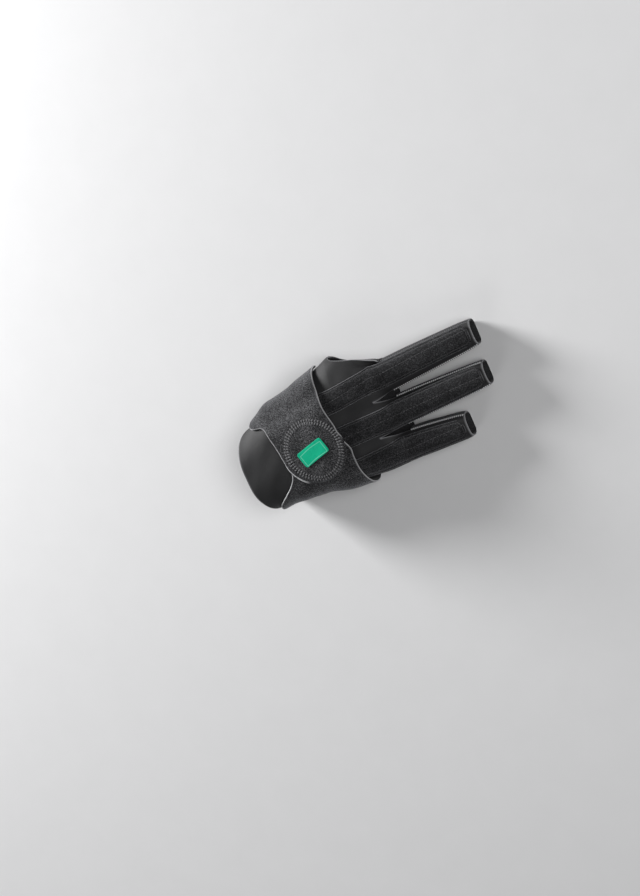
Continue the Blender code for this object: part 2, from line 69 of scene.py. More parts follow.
# The form of the hand part. along: share of the way from the cuff to the webs.
hand = {
    "cuffReach": 66.0 * mm,
    "cuffLobe": 10.5 * mm,
    "cuffTaper": 15.0 * mm,
    "webReach": 48.0 * mm,
    "radialReach": 43.5 * mm,
    "ulnarReach": 50.5 * mm,
    "height": 40.0 * mm,
    "knuckleHeight": 27.2 * mm,
    "notches": (29.5 * mm, 35.5 * mm, 29.5 * mm, 29.5 * mm),
    "sections": (  # along, radial, ulnar, rise
        (-0.10, 0.380, 0.920, 0.93),
        (0.00, 0.385, 0.920, 0.97),
        (0.09, 0.495, 0.902, 1.00),
        (0.18, 0.620, 0.909, 1.00),
        (0.24, 0.650, 0.913, 1.00),
        (0.35, 0.713, 0.929, 1.00),
        (0.49, 0.816, 0.954, 0.97),
        (0.62, 0.920, 0.980, 0.86),
        (0.69, 0.988, 0.994, 0.77),
        (0.80, 1.000, 1.000, 0.57),
        (0.90, 0.945, 0.996, 0.31),
        (1.00, 0.850, 0.988, 0.00),
    ),
    "indexEdge": (  # along, inward
        (0.00, 0.00),
        (0.05, 0.12),
        (0.13, 0.29),
        (0.37, 0.51),
        (0.70, 0.64),
        (0.92, 0.80),
        (1.00, 1.00),
    ),
    "laneAngles": np.radians((0, 47, 86, 111.5, 180)),
    "seamAngle": math.radians(24.5),
    "flatSeam": math.radians(0.12),
    "shareStep": 0.01,
    "backRoundness": 0.8,
    "palmRoundness": 0.6,
    "palmFlattening": 1.12,
    "sideShare": 0.48,
    "bodySag": 7.0 * mm,
    "sleeveSag": 12.0 * mm,
}

thumb = {
    "length": 43.0 * mm,
    "height": 32.0 * mm,
    "centre": -18.5 * mm,
    "web": 9.5 * mm,
    "wrapClear": 1.5 * mm,
    "palmCutback": 5.0 * mm,
    "palmTurn": math.radians(14),
}

sleeveSections = (  # along, width, top
    (0.00, 1.000, 1.00),
    (0.22, 0.985, 0.90),
    (0.45, 0.945, 0.83),
    (0.68, 0.900, 0.78),
    (0.88, 0.850, 0.74),
    (1.00, 0.780, 0.71),
)

sleeves = (
    {
        "name": "middle", "order": 1, "reach": 118.0 * mm, "width": 24.4 * mm,
        "root": 14.3 * mm, "tip": 18.9 * mm, "line": 13.3 * mm, "shift": 0.10,
        "margin": 1.8 * mm, "drift": (1.6 * mm, 3.4 * mm), "overlock": 0.6 * mm,
    },
    {
        "name": "ring", "order": 2, "reach": 115.0 * mm, "width": 22.8 * mm,
        "root": -12.6 * mm, "tip": -11.0 * mm, "line": -13.8 * mm, "shift": -0.04,
        "margin": 1.8 * mm, "drift": (0.0, 0.0), "overlock": 0.5 * mm,
    },
    {
        "name": "little", "order": 3, "reach": 88.5 * mm, "width": 23.0 * mm,
        "root": 11.5 * mm - 0.988 * 50.5 * mm, "tip": -40.8 * mm, "line": -40.0 * mm,
        "shift": 0.0, "margin": 3.2 * mm, "drift": (-0.5 * mm, 2.5 * mm), "overlock": -0.9 * mm,
    },
)

# Soft relief that every layer over the hand shares, so that they stay nested.
relief = {
    "valleyDepth": 1.1 * mm,
    "valleyWidth": 5.5 * mm,
    "valleys": (-0.5 * mm, -27.0 * mm),
    "knuckleRise": 0.7 * mm,
    "knuckleSpread": 10.0 * mm,
    "knuckles": ((40.0 * mm, 13.5 * mm), (38.0 * mm, -12.5 * mm), (33.0 * mm, -38.5 * mm)),
    "waveHeight": 0.22 * mm,
    "waves": (  # turns along x and y, phase, share
        (210, 95, 1.3, 1.0),
        (-120, 260, 0.0, 0.7),
        (430, -310, 0.0, 0.3),
    ),
    # where a part of the relief begins, and over which length it grows or fades
    "valleyGrows": (0.0, 22.0 * mm),
    "valleyFades": (30.0 * mm, 14.0 * mm),
    "waveFades": (25.0 * mm, 20.0 * mm),
    "grows": (12.0 * mm, 14.0 * mm),
}


def eased(t):
    t = np.clip(t, 0.0, 1.0)
    return t * t * (3 - 2 * t)


def mixed(a, b, t):
    return a + (b - a) * t


def power(value, exponent):
    return np.sign(value) * np.abs(value) ** exponent


def follow(table, column, at):
    # a smooth curve through one column of a table, whose first column is the place
    rows = np.array(table)
    place, value = rows[:, 0], rows[:, column]
    last = len(place) - 1
    here = np.arange(last + 1)
    before, after = np.maximum(here - 1, 0), np.minimum(here + 1, last)
    slope = (value[after] - value[before]) / (place[after] - place[before])
    at = np.clip(at, place[0], place[-1])
    i = np.clip(np.searchsorted(place, at, side="right") - 1, 0, last - 1)
    span = place[i + 1] - place[i]
    t = (at - place[i]) / span
    return (
        value[i] * (2 * t**3 - 3 * t**2 + 1)
        + slope[i] * span * (t**3 - 2 * t**2 + t)
        + value[i + 1] * (3 * t**2 - 2 * t**3)
        + slope[i + 1] * span * (t**3 - t**2)
    )


def roundSection(x, angle, centre, half, top, bottom):
    # closed section of a hand or a finger, flat where it rests
    side = hand["sideShare"] * top
    rise = np.sin(angle)
    y = centre + half * power(np.cos(angle), hand["backRoundness"])
    over = side + (top - side) * np.abs(rise) ** hand["backRoundness"]
    flattened = hand["palmFlattening"] * np.abs(rise) ** hand["palmRoundness"]
    under = side - (side - bottom) * np.minimum(1, flattened)
    return np.stack(np.broadcast_arrays(x, y, np.where(rise >= 0, over, under)), axis=-1)


def handAlong(x):
    return (x + hand["cuffReach"]) / (hand["cuffReach"] + hand["webReach"])


def bodyBottom(x):
    return (cloth["wrap"] + cloth["layerGap"]) * eased((x + hand["cuffReach"]) / hand["bodySag"])


def handTop(x):
    rise = follow(hand["sections"], 3, handAlong(x))
    return mixed(hand["knuckleHeight"], hand["height"], rise)


def handSides(x):
    along = handAlong(x)
    radial = hand["radialReach"] * follow(hand["sections"], 1, along)
    ulnar = -hand["ulnarReach"] * follow(hand["sections"], 2, along)
    return radial, ulnar


def handPoint(x, angle):
    radial, ulnar = handSides(x)
    return roundSection(
        x, angle, (radial + ulnar) / 2, (radial - ulnar) / 2, handTop(x), bodyBottom(x)
    )


def sleevePoint(sleeve, x, angle):
    along = np.clip((x - hand["webReach"]) / (sleeve["reach"] - hand["webReach"]), 0, 1)
    top = hand["knuckleHeight"] * follow(sleeveSections, 2, along)
    top = np.where(x < hand["webReach"], handTop(x), top)
    half = sleeve["width"] / 2 * follow(sleeveSections, 1, along)
    centre = mixed(sleeve["root"], sleeve["tip"], along)
    sag = 1 - eased((x - hand["webReach"]) / hand["sleeveSag"])
    return roundSection(x, angle, centre, half, top, bodyBottom(hand["webReach"]) * sag)


def outerSeam(sleeve):
    return math.pi if sleeve["order"] == 3 else math.pi - hand["seamAngle"]


def sleeveNotches(sleeve):
    return hand["notches"][sleeve["order"] - 1], hand["notches"][sleeve["order"]]


def tinePoint(sleeve, x, share):
    # the back panel over one finger; share runs from its thumb side outwards
    notch = mixed(*sleeveNotches(sleeve), share)
    lanes = hand["laneAngles"]
    overHand = handPoint(x, mixed(lanes[sleeve["order"]], lanes[sleeve["order"] + 1], share))
    overFinger = sleevePoint(sleeve, x, mixed(hand["seamAngle"], outerSeam(sleeve), share))
    blend = eased((x - notch) / (hand["webReach"] - notch))
    return mixed(overHand, overFinger, blend[..., None])


def indexFront():
    return thumb["centre"] + thumb["length"] / 2 + thumb["web"]


def angleAt(x, y):
    radial, ulnar = handSides(x)
    share = np.clip((y - (radial + ulnar) / 2) / ((radial - ulnar) / 2), -1, 1)
    return np.arccos(power(share, 1 / hand["backRoundness"]))


def indexAngle(x, cutback=0):
    # angle at which the cloth ends below the index finger; the palm is cut further back
    start = indexFront()
    along = np.clip((x - start) / (hand["webReach"] - start), 0, 1)
    bow = cutback * 4 * along * (1 - along)
    inward = follow(hand["indexEdge"], 1, along)
    inner = tinePoint(sleeves[0], x, x * 0)[..., 1]
    edge = mixed(handSides(x)[0], inner, inward) - thumb["palmCutback"] * bow
    most = hand["laneAngles"][1] + thumb["palmTurn"] * bow
    turned = np.clip(angleAt(x, edge), hand["flatSeam"], most)
    return np.where(x <= start, hand["flatSeam"], turned)


def indexPoint(x, share):
    inner = hand["laneAngles"][1]
    over = handPoint(x, mixed(indexAngle(x), inner, share))
    drop = tinePoint(sleeves[0], x, x * 0) - handPoint(x, inner)
    return over + drop * share[..., None]


def risen(place, name):
    start, length = relief[name]
    return eased((place - start) / length)


def softRelief(point):
    # valleys between the fingers' bones, soft knuckles, and slow waves in the cloth
    x, y, z = point[..., 0], point[..., 1], point[..., 2]
    betweenBones = risen(x, "valleyGrows") * (1 - risen(x, "valleyFades"))
    rise = 0 * x
    for valley in relief["valleys"]:
        away = ((y - valley) / relief["valleyWidth"]) ** 2
        rise -= relief["valleyDepth"] * betweenBones * np.exp(-away)
    for atX, atY in relief["knuckles"]:
        away = ((x - atX) ** 2 + (y - atY) ** 2) / relief["knuckleSpread"] ** 2
        rise += relief["knuckleRise"] * np.exp(-away)
    onHand = relief["waveHeight"] * (1 - risen(x, "waveFades"))
    for alongX, alongY, phase, share in relief["waves"]:
        rise += onHand * share * np.sin(x * alongX + y * alongY + phase)
    return rise * risen(z, "grows")


def lifted(surface, x, other, lift, step=math.radians(0.5)):
    # a point lifted off a surface along its outward normal; other is an angle or a share
    nudge = 0.2 * mm
    along = surface(x + nudge, other) - surface(x - nudge, other)
    across = surface(x, other + step) - surface(x, other - step)
    normal = np.cross(across, along)
    normal /= np.maximum(np.linalg.norm(normal, axis=-1, keepdims=True), 1e-12)
    base = surface(x, other)
    return base + normal * (lift + softRelief(base))[..., None]


def rimmedSteps(length, step):
    # places along a length, close together at both ends where the cut edge is rounded
    rim = np.array((0.0, 0.13, 0.32, 0.62)) * mm
    count = max(int(math.ceil((length - 2 * rim[-1]) / step)), 1)
    middle = np.linspace(rim[-1], length - rim[-1], count + 1)[1:-1]
    return np.concatenate([rim, middle, length - rim[::-1]]) / length


def anglesBetween(x, low, high, step, surface=handPoint):
    # angles round a section, at even steps over the cloth
    fine = np.linspace(low, high, 1500)
    line = surface(np.full_like(fine, x), fine)
    run = np.concatenate([[0], np.cumsum(np.linalg.norm(np.diff(line, axis=0), axis=1))])
    return np.interp(rimmedSteps(run[-1], step) * run[-1], run, fine)


def storeAttribute(mesh, name, values):
    kind = "FLOAT_VECTOR" if values.ndim == 2 else "FLOAT"
    made = mesh.attributes.new(name, kind, "POINT")
    made.data.foreach_set("vector" if values.ndim == 2 else "value", values.ravel())


def readAttribute(mesh, name):
    values = np.empty(len(mesh.vertices) * 3)
    mesh.attributes[name].data.foreach_get("vector", values)
    return values.reshape(-1, 3)


def selectOnly(*objects):
    bpy.ops.object.select_all(action="DESELECT")
    for each in objects:
        each.select_set(True)
    bpy.context.view_layer.objects.active = objects[0]


def editAll(piece, action, **settings):
    # one action of the edit mode on all of a piece
    selectOnly(piece)
    bpy.ops.object.mode_set(mode="EDIT")
    bpy.ops.mesh.select_all(action="SELECT")
    action(**settings)
    bpy.ops.object.mode_set(mode="OBJECT")


def running(face, axis):
    # running length over the cloth along one way of its grid
    steps = np.linalg.norm(np.diff(face, axis=axis), axis=2)
    start = np.zeros_like(np.take(steps, [0], axis=axis))
    return np.concatenate([start, np.cumsum(steps, axis=axis)], axis=axis)


def layCloth(
    name, across, along, place, wall, cutDistance, edgeLineLitShare=None, turned=False, weaveFrom=None,
    lineWidth=cloth["edgeLineAndHighlight"],
):
    # A flat grid laid on the form. place(across, along, depth) gives its points, depth
    # below the outer face; cutDistance says how far they are from a cut edge, the edge
    # weight how plainly the edge's pale line shows there, lowered where shade is painted
    # on it, and weaveFrom where each row's weave begins, which is otherwise centred.
    # The pale edge line is partly the paler cut edge and partly a painted highlight.
    across, along = np.asarray(across), np.asarray(along)
    columns, rows = np.meshgrid(across, along)
    face = place(columns, rows, 0.0 * columns)
    left, start = running(face, 1), running(face, 0)
    reach = {
        "left": left, "right": left[:, -1:] - left, "start": start, "end": start[-1:] - start,
    }
    cut = cutDistance(columns, rows, reach)
    radius = wall * cloth["edgeRound"]
    rounded = radius - np.sqrt(radius**2 - np.maximum(radius - np.maximum(cut, 0), 0) ** 2)
    bpy.ops.object.select_all(action="DESELECT")
    bpy.ops.mesh.primitive_grid_add(
        x_subdivisions=len(across) - 1, y_subdivisions=len(along) - 1, size=1
    )
    piece = bpy.context.object
    piece.name = piece.data.name = name
    mesh = piece.data
    flat = np.empty(len(mesh.vertices) * 3)
    mesh.vertices.foreach_get("co", flat)
    flat = flat.reshape(-1, 3)
    column = np.rint((flat[:, 0] + 0.5) * (len(across) - 1)).astype(int)
    row = np.rint((flat[:, 1] + 0.5) * (len(along) - 1)).astype(int)
    first = -left[:, -1:] / 2 if weaveFrom is None else weaveFrom[:, None]
    pattern = np.stack([first + left, start, 0 * left], axis=-1) / mm
    storeAttribute(mesh, "topFace", place(columns, rows, rounded)[row, column])
    storeAttribute(mesh, "underFace", place(columns, rows, wall - rounded)[row, column])
    storeAttribute(mesh, "weave", pattern[row, column])
    # the pale edge line: partly the paler cut edge, partly a painted highlight beside it
    line = 1 - eased((np.maximum(cut, 0) - cloth["edgeLineAndHighlightFrom"]) / lineWidth)
    if edgeLineLitShare:
        line = line * edgeLineLitShare(columns, rows)
    storeAttribute(mesh, "edgeLineAndHighlight", line[row, column])
    mesh.vertices.foreach_set("co", face[row, column].ravel())
    mesh.update()
    if turned:
        editAll(piece, bpy.ops.mesh.flip_normals)
    return piece


def joinLanes(lanes, name):
    # lanes laid edge to edge become one cloth
    selectOnly(*lanes)
    bpy.ops.object.join()
    piece = bpy.context.object
    piece.name = piece.data.name = name
    editAll(piece, bpy.ops.mesh.remove_doubles, threshold=cloth["weld"])
    return piece


def thumbSeam():
    # where the thumb's hole has its middle, on the seam along the side of the hand
    return handPoint(np.array(thumb["centre"]), np.array(0.0))


def cutThumbHole(piece, grown):
    # cuts the thumb's oval through a laid cloth, square to the side of the hand
    halfLength, halfHeight = thumb["length"] / 2 + grown, thumb["height"] / 2 + grown
    centreZ = thumbSeam()[2]
    mesh = bmesh.new()
    mesh.from_mesh(piece.data)

    def inside(vertex):
        x, y, z = vertex.co
        if y < 0:
            return 1.0
        return ((x - thumb["centre"]) / halfLength) ** 2 + ((z - centreZ) / halfHeight) ** 2 - 1

    level = {v: inside(v) for v in mesh.verts}
    fresh = set()
    for edge in list(mesh.edges):
        a, b = edge.verts
        if level[a] * level[b] < 0:
            share = level[a] / (level[a] - level[b])
            made = bmesh.utils.edge_split(edge, a, share)[1]
            level[made] = 0.0
            fresh.add(made)
    for face in list(mesh.faces):
        ends = [v for v in face.verts if v in fresh]
        if len(ends) == 2 and not any(set(e.verts) == set(ends) for e in face.edges):
            bmesh.utils.face_split(face, ends[0], ends[1])
    gone = [f for f in mesh.faces if sum(level[v] for v in f.verts) < 0]
    bmesh.ops.delete(mesh, geom=gone, context="FACES")
    mesh.to_mesh(piece.data)
    mesh.free()


def thicken(piece, wall, looks):
    # gives the laid cloth its wall: outer face, cut edge and lining each with a material
    selectOnly(piece)
    for look in looks:
        piece.data.materials.append(look)
    count = len(piece.data.vertices)
    shell = piece.modifiers.new("wall", "SOLIDIFY")
    shell.thickness = wall
    shell.offset = -1
    shell.material_offset_rim = 1
    shell.material_offset = 2
    bpy.ops.object.modifier_apply(modifier=shell.name)
    mesh = piece.data
    placed = readAttribute(mesh, "topFace")
    placed[count:] = readAttribute(mesh, "underFace")[count:]
    mesh.vertices.foreach_set("co", placed.ravel())
    for name in ("topFace", "underFace"):
        mesh.attributes.remove(mesh.attributes[name])
    mesh.update()
    bpy.ops.object.shade_smooth()
    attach(piece, "root")
    return piece


class Wire:
    # wraps a socket, so that an expression on it adds its Math nodes

    def __init__(self, look, socket):
        self.look = look
        self.socket = socket

    def maths(self, operation, *values):
        return self.look.node("ShaderNodeMath", {"operation": operation}, dict(enumerate(values)))

    def __add__(self, other):
        return self.maths("ADD", self, other)

    def __radd__(self, other):
        return self.maths("ADD", other, self)

    def __sub__(self, other):
        return self.maths("SUBTRACT", self, other)

    def __rsub__(self, other):
        return self.maths("SUBTRACT", other, self)

    def __mul__(self, other):
        return self.maths("MULTIPLY", self, other)

    def sine(self):
        return self.maths("SINE", self)

    def absolute(self):
        return self.maths("ABSOLUTE", self)

    def between(self, low, high):
        # 0 below low, 1 above high, smooth in between
        return self.look.node(
            "ShaderNodeMapRange",
            {"interpolation_type": "SMOOTHSTEP"},
            {"Value": self, "From Min": low, "From Max": high},
        )


class Look:
    # one material and the nodes that feed its shader

    def __init__(self, name, **shaderValues):
        self.material = bpy.data.materials.new(name)
        self.material.use_nodes = True
        self.tree = self.material.node_tree
        self.shader = self.tree.nodes["Principled BSDF"]
        for socket, value in shaderValues.items():
            self.shader.inputs[socket.replace("_", " ")].default_value = value

    def node(self, kind, settings=None, inputs=None, output=0):
        made = self.tree.nodes.new(kind)
        for key, value in (settings or {}).items():
            setattr(made, key, value)
        for key, value in (inputs or {}).items():
            if isinstance(value, Wire):
                self.tree.links.new(value.socket, made.inputs[key])
            else:
                made.inputs[key].default_value = value
        return Wire(self, made.outputs[output])

    def place(self):
        return self.node("ShaderNodeTexCoord", output="Object")

    def noise(self, scale, detail=2.0, roughness=0.5):
        return self.node(
            "ShaderNodeTexNoise",
            {"noise_dimensions": "3D"},
            {"Vector": self.place(), "Scale": scale, "Detail": detail, "Roughness": roughness},
        )

    def weave(self):
        across = self.node("ShaderNodeAttribute", {"attribute_name": "weave"}, output="Vector")
        parts = self.tree.nodes.new("ShaderNodeSeparateXYZ")
        self.tree.links.new(across.socket, parts.inputs[0])
        return Wire(self, parts.outputs["X"]), Wire(self, parts.outputs["Y"])

    # the pale edge line, partly the paler cut edge and partly a painted highlight
    def edgeLineAndHighlight(self):
        return self.node("ShaderNodeAttribute", {"attribute_name": "edgeLineAndHighlight"}, output="Fac")

    def blend(self, share, first, second):
        made = self.tree.nodes.new("ShaderNodeMix")
        made.data_type = "RGBA"
        for key, value in ((0, share), (6, first), (7, second)):
            if isinstance(value, Wire):
                self.tree.links.new(value.socket, made.inputs[key])
            elif key:
                made.inputs[key].default_value = (*value, 1)
            else:
                made.inputs[key].default_value = value
        return Wire(self, made.outputs[2])

    def feed(self, **wires):
        for socket, wire in wires.items():
            self.tree.links.new(wire.socket, self.shader.inputs[socket.replace("_", " ")])

    def bump(self, height, strength, distance):
        made = self.node(
            "ShaderNodeBump", {}, {"Height": height, "Strength": strength, "Distance": distance}
        )
        self.feed(Normal=made)


def velourLook(name, dark, pale, edge):
    # brushed loops: pepper-and-salt flecks over a dark ground, with a soft nap
    look = Look(
        name, Roughness=0.95, Specular_IOR_Level=0.12, Sheen_Weight=0.45, Sheen_Roughness=0.4,
        Sheen_Tint=(0.75, 0.76, 0.8, 1),
    )
    fleck = look.noise(1350, 3.0, 0.75).between(0.44, 0.66)
    fine = look.noise(4200, 2.0, 0.6)
    nap = look.noise(90, 3.0, 0.55).between(0.3, 0.7)
    brushed = fleck * (0.55 + nap * 0.45) * (0.4 + fine * 1.1)
    ground = look.blend(nap, dark, tuple(c * 1.3 for c in dark))
    colour = look.blend(brushed, ground, pale)
    # painted highlight along the cut edges, partly the paler cut edge itself
    colour = look.blend(look.edgeLineAndHighlight() * (0.7 + fine * 0.5), colour, edge)
    look.feed(Base_Color=colour, Roughness=0.88 + fine * 0.12)
    look.bump(fleck * 0.5 + fine * 0.5, 0.55, 0.0004)
    return look.material


def knitLook(name, dark, pale, edge, gauge=0.85):
    # fine warp knit with a faint lustre
    look = Look(
        name, Roughness=0.62, Specular_IOR_Level=0.3, Sheen_Weight=0.08, Sheen_Roughness=0.3,
        Sheen_Tint=(0.8, 0.82, 0.86, 1),
    )
    across, along = look.weave()
    wales = (across * (2 * math.pi / gauge)).sine()
    courses = (along * (2 * math.pi / (gauge * 0.75)) + wales * 1.4).sine()
    stitchShape = wales * 0.5 + courses * 0.5
    fine = look.noise(1900, 2.0, 0.6)
    broad = look.noise(48, 3.0, 0.5).between(0.3, 0.7)
    ground = look.blend(broad, dark, tuple(c * 1.4 for c in dark))
    colour = look.blend((0.12 + stitchShape * 0.12) * (0.5 + fine), ground, pale)
    # painted highlight along the cut edges, partly the paler cut edge itself
    colour = look.blend(look.edgeLineAndHighlight() * (0.7 + fine * 0.5), colour, edge)
    look.feed(Base_Color=colour, Roughness=0.55 + fine * 0.2 - broad * 0.06)
    look.bump(stitchShape * 0.6 + fine * 0.5, 0.4, 0.00018)
    return look.material


def plainCloth(name, dark, pale, roughness, scale, depth):
    look = Look(name, Roughness=roughness, Specular_IOR_Level=0.2, Sheen_Weight=0.1)
    grain = look.noise(scale, 3.0, 0.6)
    look.feed(
        Base_Color=look.blend(grain.between(0.3, 0.7), dark, pale),
        Roughness=roughness - 0.1 + grain * 0.15,
    )
    look.bump(grain, 0.5, depth)
    return look.material


def threadLook(name, dark, pale):
    look = Look(name, Roughness=0.5, Specular_IOR_Level=0.4, Sheen_Weight=0.15)
    grain = look.noise(3200, 2.0, 0.6)
    colour = look.blend(grain.between(0.35, 0.7), dark, pale)
    look.feed(Base_Color=colour, Roughness=0.42 + grain * 0.2)
    look.bump(grain, 0.5, 0.0001)
    return look.material


label = {
    "length": 22.0 * mm,
    "width": 11.3 * mm,
    "turn": math.radians(16),
    "corner": 1.6 * mm,
    "lineInset": 1.3 * mm,
}


def labelLook():
    look = Look("wovenGreen", Roughness=0.6, Specular_IOR_Level=0.15)
    across, along = look.weave()
    warp = (across * (2 * math.pi / 0.34)).sine()
    weft = (along * (2 * math.pi / 0.42)).sine()
    weave = warp * weft
    fine = look.noise(2400, 2.0, 0.6)
    share = 0.35 + weave * 0.3 + (fine - 0.5) * 0.4
    green = look.blend(share, (0.0, 0.30, 0.16), (0.004, 0.46, 0.27))
    # A paler line is woven in round the edge. The weave's places are in millimetres.
    half, inset = label["width"] / 2, label["lineInset"]
    fromCentre = (along - half / mm).absolute() - (half - inset) / mm
    fromEnds = across.absolute() - (label["length"] / 2 - inset) / mm
    border = fromCentre.maths("MAXIMUM", fromEnds, fromCentre)
    line = 1 - border.absolute().between(0.12, 0.3)
    green = look.blend(line * 0.6, green, (0.22, 0.62, 0.45))
    look.feed(Base_Color=green, Roughness=0.5 + fine * 0.15)
    look.bump(weave * 0.5 + fine * 0.4, 0.5, 0.00012)
    return look.material


def hookLook():
    look = Look("hookPile", Roughness=0.6, Specular_IOR_Level=0.4)
    cells = look.node(
        "ShaderNodeTexVoronoi", {"feature": "F1"}, {"Vector": look.place(), "Scale": 1300}
    )
    look.feed(
        Base_Color=look.blend(cells, (0.03, 0.03, 0.03), (0.008, 0.008, 0.009)),
        Roughness=0.5 + cells * 0.3,
    )
    look.bump(1 - cells, 0.8, 0.0006)
    return look.material


def floorLook():
    look = Look("paleFloor", Roughness=0.9, Specular_IOR_Level=0.2)
    grain = look.noise(35, 4.0, 0.6)
    look.feed(
        Base_Color=look.blend(grain, (0.60, 0.60, 0.605), (0.63, 0.63, 0.635)),
        Roughness=0.86 + grain * 0.08,
    )
    return look.material


# the last colour of each look is its pale edge line: partly the paler cut edge, partly a painted
# highlight
knit = knitLook("panelKnit", (0.007, 0.007, 0.0075), (0.06, 0.06, 0.063), (0.26, 0.26, 0.27))
coverKnit = knitLook(
    "coverKnit", (0.007, 0.007, 0.0075), (0.05, 0.05, 0.053), (0.24, 0.24, 0.25), gauge=0.7
)
velour = velourLook("velour", (0.007, 0.007, 0.0075), (0.135, 0.135, 0.141), (0.42, 0.42, 0.43))
channelVelour = velourLook(
    "channelVelour", (0.006, 0.006, 0.0065), (0.065, 0.065, 0.068), (0.09, 0.09, 0.094)
)
cutFoam = plainCloth("cutFoam", (0.03, 0.03, 0.032), (0.09, 0.09, 0.094), 0.85, 1500, 0.0002)
darkEdge = plainCloth("darkEdge", (0.012, 0.012, 0.013), (0.035, 0.035, 0.037), 0.85, 1500, 0.0002)
lining = plainCloth("lining", (0.012, 0.012, 0.013), (0.03, 0.03, 0.032), 0.85, 1200, 0.00015)
hook = hookLook()
green = labelLook()
paleThread = threadLook("paleThread", (0.55, 0.55, 0.56), (0.85, 0.85, 0.87))
ringThread = threadLook("ringThread", (0.06, 0.06, 0.062), (0.15, 0.15, 0.156))
greyThread = threadLook("greyThread", (0.03, 0.03, 0.032), (0.10, 0.10, 0.104))
darkThread = threadLook("darkThread", (0.012, 0.012, 0.013), (0.05, 0.05, 0.053))
print("materials made")


def nearestSide(columns, rows, reach):
    return np.minimum.reduce(list(reach.values()))


def cuffEdge(angle):
    # the cuff reaches further up over the back of the wrist than at its sides
    return -hand["cuffReach"] - hand["cuffLobe"] * np.maximum(np.sin(angle), 0)


def layBackPanel():
    # four lanes laid edge to edge, one below the index finger and one over each finger
    step, wall, lanes = 0.85 * mm, cloth["panel"], hand["laneAngles"]
    handRun = np.linspace(-hand["cuffReach"] + hand["cuffTaper"], hand["notches"][0], 96)
    toWeb = np.linspace(hand["notches"][0], hand["webReach"], 24)[1:]
    # shares of the way from the cuff's curved edge to the first even row
    fan = rimmedSteps(20 * mm, step)[:-4]
    woven = np.zeros(len(fan) + len(handRun) + len(toWeb))

    def layLane(name, shares, tail, surface, order):
        # order is 0 below the index finger; tail holds the rows in front of the webs
        places = np.concatenate([handRun, toWeb, tail])
        numbers = np.arange(len(fan) + len(places), dtype=float)

        def at(columns, rows):
            number = np.rint(rows).astype(int)
            edge = cuffEdge(mixed(lanes[order], lanes[order + 1], columns))
            inFan = mixed(edge, handRun[0], fan[np.minimum(number, len(fan) - 1)])
            onward = places[np.clip(number - len(fan), 0, len(places) - 1)]
            return np.where(number < len(fan), inFan, onward)

        def place(columns, rows, depth):
            x = at(columns, rows)
            if order == 3:
                columns = np.minimum(columns, 1 - hand["flatSeam"] / (lanes[4] - lanes[3]))
            return lifted(surface, x, columns, -depth, hand["shareStep"])

        def cut(columns, rows, reach):
            if order == 0:
                return np.minimum(reach["start"], reach["left"])
            # between neighbours the cloth is cut in front of their notch only, and on
            # the outer side of the hand all along
            free = (hand["webReach"], *hand["notches"][1:3], -hand["cuffReach"] * 2)
            x = at(columns, rows)
            left = np.hypot(reach["left"], np.maximum(free[order - 1] - x, 0))
            right = np.hypot(reach["right"], np.maximum(free[order] - x, 0))
            return np.minimum.reduce([reach["start"], reach["end"], left, right])

        # the weave runs on from the lane before, as far as the lanes are one cloth
        weaveFrom = np.concatenate([woven, np.full(len(tail), woven[-1])])
        width = running(place(*np.meshgrid(shares, numbers), 0.0), 1)[:, -1]
        woven[:] += width[: len(woven)]
        return layCloth(
            name, shares, numbers, place, wall, cut, weaveFrom=weaveFrom,
            lineWidth=cloth["panelEdgeLineAndHighlight"],
        )

    made = [layLane("indexLane", rimmedSteps(38 * mm, step), np.array([]), indexPoint, 0)]
    for sleeve in sleeves:
        length = sleeve["reach"] - hand["webReach"]
        tail = hand["webReach"] + rimmedSteps(length, step)[4:] * length
        made.append(layLane(
            sleeve["name"] + "Lane", rimmedSteps(30 * mm, step), tail,
            partial(tinePoint, sleeve), sleeve["order"],
        ))
    piece = joinLanes(made, "backPanel")
    thicken(piece, wall, (knit, cutFoam, lining))
    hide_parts("back_panel")
    return piece


def thumbHoleDistance(point, grown):
    a, b = thumb["length"] / 2 + grown, thumb["height"] / 2 + grown
    away = np.hypot((point[..., 0] - thumb["centre"]) / a, (point[..., 2] - thumbSeam()[2]) / b) - 1
    return np.where(point[..., 1] > 0, away * min(a, b), 1.0)


def layPalmPanel():
    step = 1.0 * mm
    wall = cloth["panel"]
    length = hand["cuffReach"] + hand["webReach"]
    along = -hand["cuffReach"] + rimmedSteps(length, step) * length
    shares = rimmedSteps(118 * mm, step)

    def place(columns, rows, depth):
        far = 2 * math.pi - indexAngle(rows, 1)
        return lifted(handPoint, rows, mixed(math.pi + hand["flatSeam"], far, columns), -depth)

    def cut(columns, rows, reach):
        hole = thumbHoleDistance(place(columns, rows, 0 * rows), 0)
        return np.minimum(nearestSide(columns, rows, reach), hole)

    piece = layCloth("palmPanel", shares, along, place, wall, cut)
    cutThumbHole(piece, 0)
    thicken(piece, wall, (knit, cutFoam, lining))
    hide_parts("palm_panel")
    return piece


def layCover(sleeve):
    step = 0.8 * mm
    wall = cloth["cover"]
    length = sleeve["reach"] - hand["webReach"] - cloth["seamGap"]
    along = hand["webReach"] + cloth["seamGap"] + rimmedSteps(length, step) * length
    gap = 1.7 * cloth["seamGap"] / (sleeve["width"] / 2)
    surface = partial(sleevePoint, sleeve)
    angles = anglesBetween(
        hand["webReach"] + length / 2, outerSeam(sleeve) + gap,
        2 * math.pi + hand["seamAngle"] - gap, step, surface,
    )

    def place(columns, rows, depth):
        return lifted(surface, rows, columns, -depth)

    piece = layCloth(sleeve["name"] + "Cover", angles, along, place, wall, nearestSide)
    thicken(piece, wall, (coverKnit, cutFoam, lining))
    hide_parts("finger_cover_" + sleeve["name"])
    return piece


